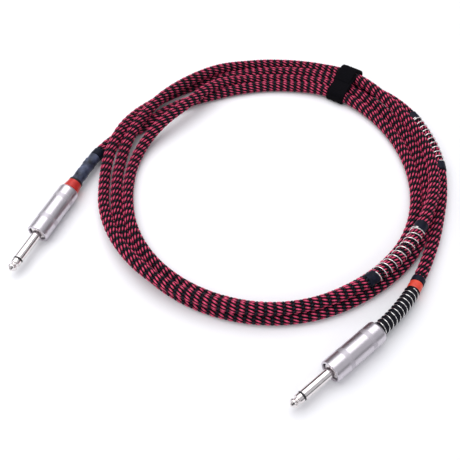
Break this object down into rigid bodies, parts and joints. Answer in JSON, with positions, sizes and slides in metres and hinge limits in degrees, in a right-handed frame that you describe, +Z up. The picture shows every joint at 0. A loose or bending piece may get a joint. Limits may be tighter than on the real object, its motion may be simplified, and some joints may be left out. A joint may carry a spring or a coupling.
{
  "type": "instrument cable",
  "caption": "Braided instrument lead wound in a strapped coil, with a screw-barrel phone plug on each end and wire windings on the cord.",
  "frame": {"origin": "middle of the whole part's box, on the surface that it lies on", "axes": "+Z up, across the coil's flat; +Y away from the plug that points to the front; +X to the side where the coil is strapped"},
  "size_m": [0.2993, 0.3005, 0.0158],
  "materials": {
    "bright_nickel": "polished nickel plate",
    "satin_nickel": "satin nickel plate, turned, with two matte bands",
    "black_insulator": "moulded insulating ring",
    "brown_board": "resin board washer",
    "tinned_brass": "tinned solder tags",
    "black_jacket": "soft cord jacket",
    "white_dielectric": "foamed dielectric",
    "copper_wire": "stranded copper",
    "clear_tube": "insulating liner tube",
    "red_ring": "orange-red boot ring",
    "black_rubber": "black lip",
    "grey_tube": "slate blue shrink tube, wrinkled",
    "black_band": "navy black shrink band",
    "strain_rubber": "soft black strain relief",
    "steel_wire": "silver winding wire",
    "red_band": "orange-red shrink band",
    "braid": "braided sleeve, black with crimson dashes",
    "strap": "black hook-and-loop strap"
  },
  "bodies": {
    "root": {"tip_contact_a": "bright_nickel", "tip_insulator_a": "black_insulator", "sleeve_contact_a": "bright_nickel", "rear_washer_a": "brown_board", "hot_lug_a": "tinned_brass", "ground_lug_a": "tinned_brass", "inner_jacket_a": "black_jacket", "dielectric_a": "white_dielectric", "core_wire_a": "copper_wire", "shield_pigtail_a": "copper_wire", "tip_contact_b": "bright_nickel", "tip_insulator_b": "black_insulator", "sleeve_contact_b": "bright_nickel", "rear_washer_b": "brown_board", "hot_lug_b": "tinned_brass", "ground_lug_b": "tinned_brass", "inner_jacket_b": "black_jacket", "dielectric_b": "white_dielectric", "core_wire_b": "copper_wire", "shield_pigtail_b": "copper_wire", "grey_tube_a": "grey_tube", "black_band_a": "black_band", "strain_sleeve_b": "strain_rubber", "strain_wire_b": "steel_wire", "red_band_b": "red_band", "black_band_b": "black_band", "cord_tail_a": "braid", "cord_tail_b": "braid", "cord_coil": "braid", "winding_wire_lower": "steel_wire", "winding_band_lower_near": "black_band", "winding_band_lower_far": "black_band", "winding_wire_upper": "steel_wire", "winding_band_upper_near": "black_band", "winding_band_upper_far": "black_band", "strap_band": "strap"},
    "carrier_a": {"insulating_tube_a": "clear_tube", "red_ring_a": "red_ring", "black_lip_a": "black_rubber"},
    "barrel_a_turning": {"barrel_a": "satin_nickel"},
    "carrier_b": {"insulating_tube_b": "clear_tube"},
    "barrel_b_turning": {"barrel_b": "satin_nickel"},
    "strap_tab_peeling": {"strap_tab": "strap"}
  },
  "joints": [
    {"name": "barrel_a_unscrew", "type": "hinge", "parent": "carrier_a", "child": "barrel_a_turning", "pos_m": [-0.1357, -0.0321, 0.00725], "axis": [0.3907, 0.9205, 0], "range_deg": [0, 2520]},
    {"name": "barrel_a_travel", "type": "slide", "parent": "root", "child": "carrier_a", "axis": [0.3907, 0.9205, 0], "range_m": [0, 0.007]},
    {"name": "barrel_b_unscrew", "type": "hinge", "parent": "carrier_b", "child": "barrel_b_turning", "pos_m": [0.0503, -0.1295, 0.00725], "axis": [0.766, 0.6428, 0], "range_deg": [0, 2520]},
    {"name": "barrel_b_travel", "type": "slide", "parent": "root", "child": "carrier_b", "axis": [0.766, 0.6428, 0], "range_m": [0, 0.007]},
    {"name": "strap_tab_peel", "type": "hinge", "parent": "root", "child": "strap_tab_peeling", "pos_m": [0.08233, 0.11399, 0.0151], "axis": [0.8434, -0.5373, 0], "range_deg": [0, 70]}
  ],
  "couplings": [
    {"joint": "barrel_a_travel", "follows": "barrel_a_unscrew", "m_per_rad": 0.00015915},
    {"joint": "barrel_b_travel", "follows": "barrel_b_unscrew", "m_per_rad": 0.00015915}
  ]
}
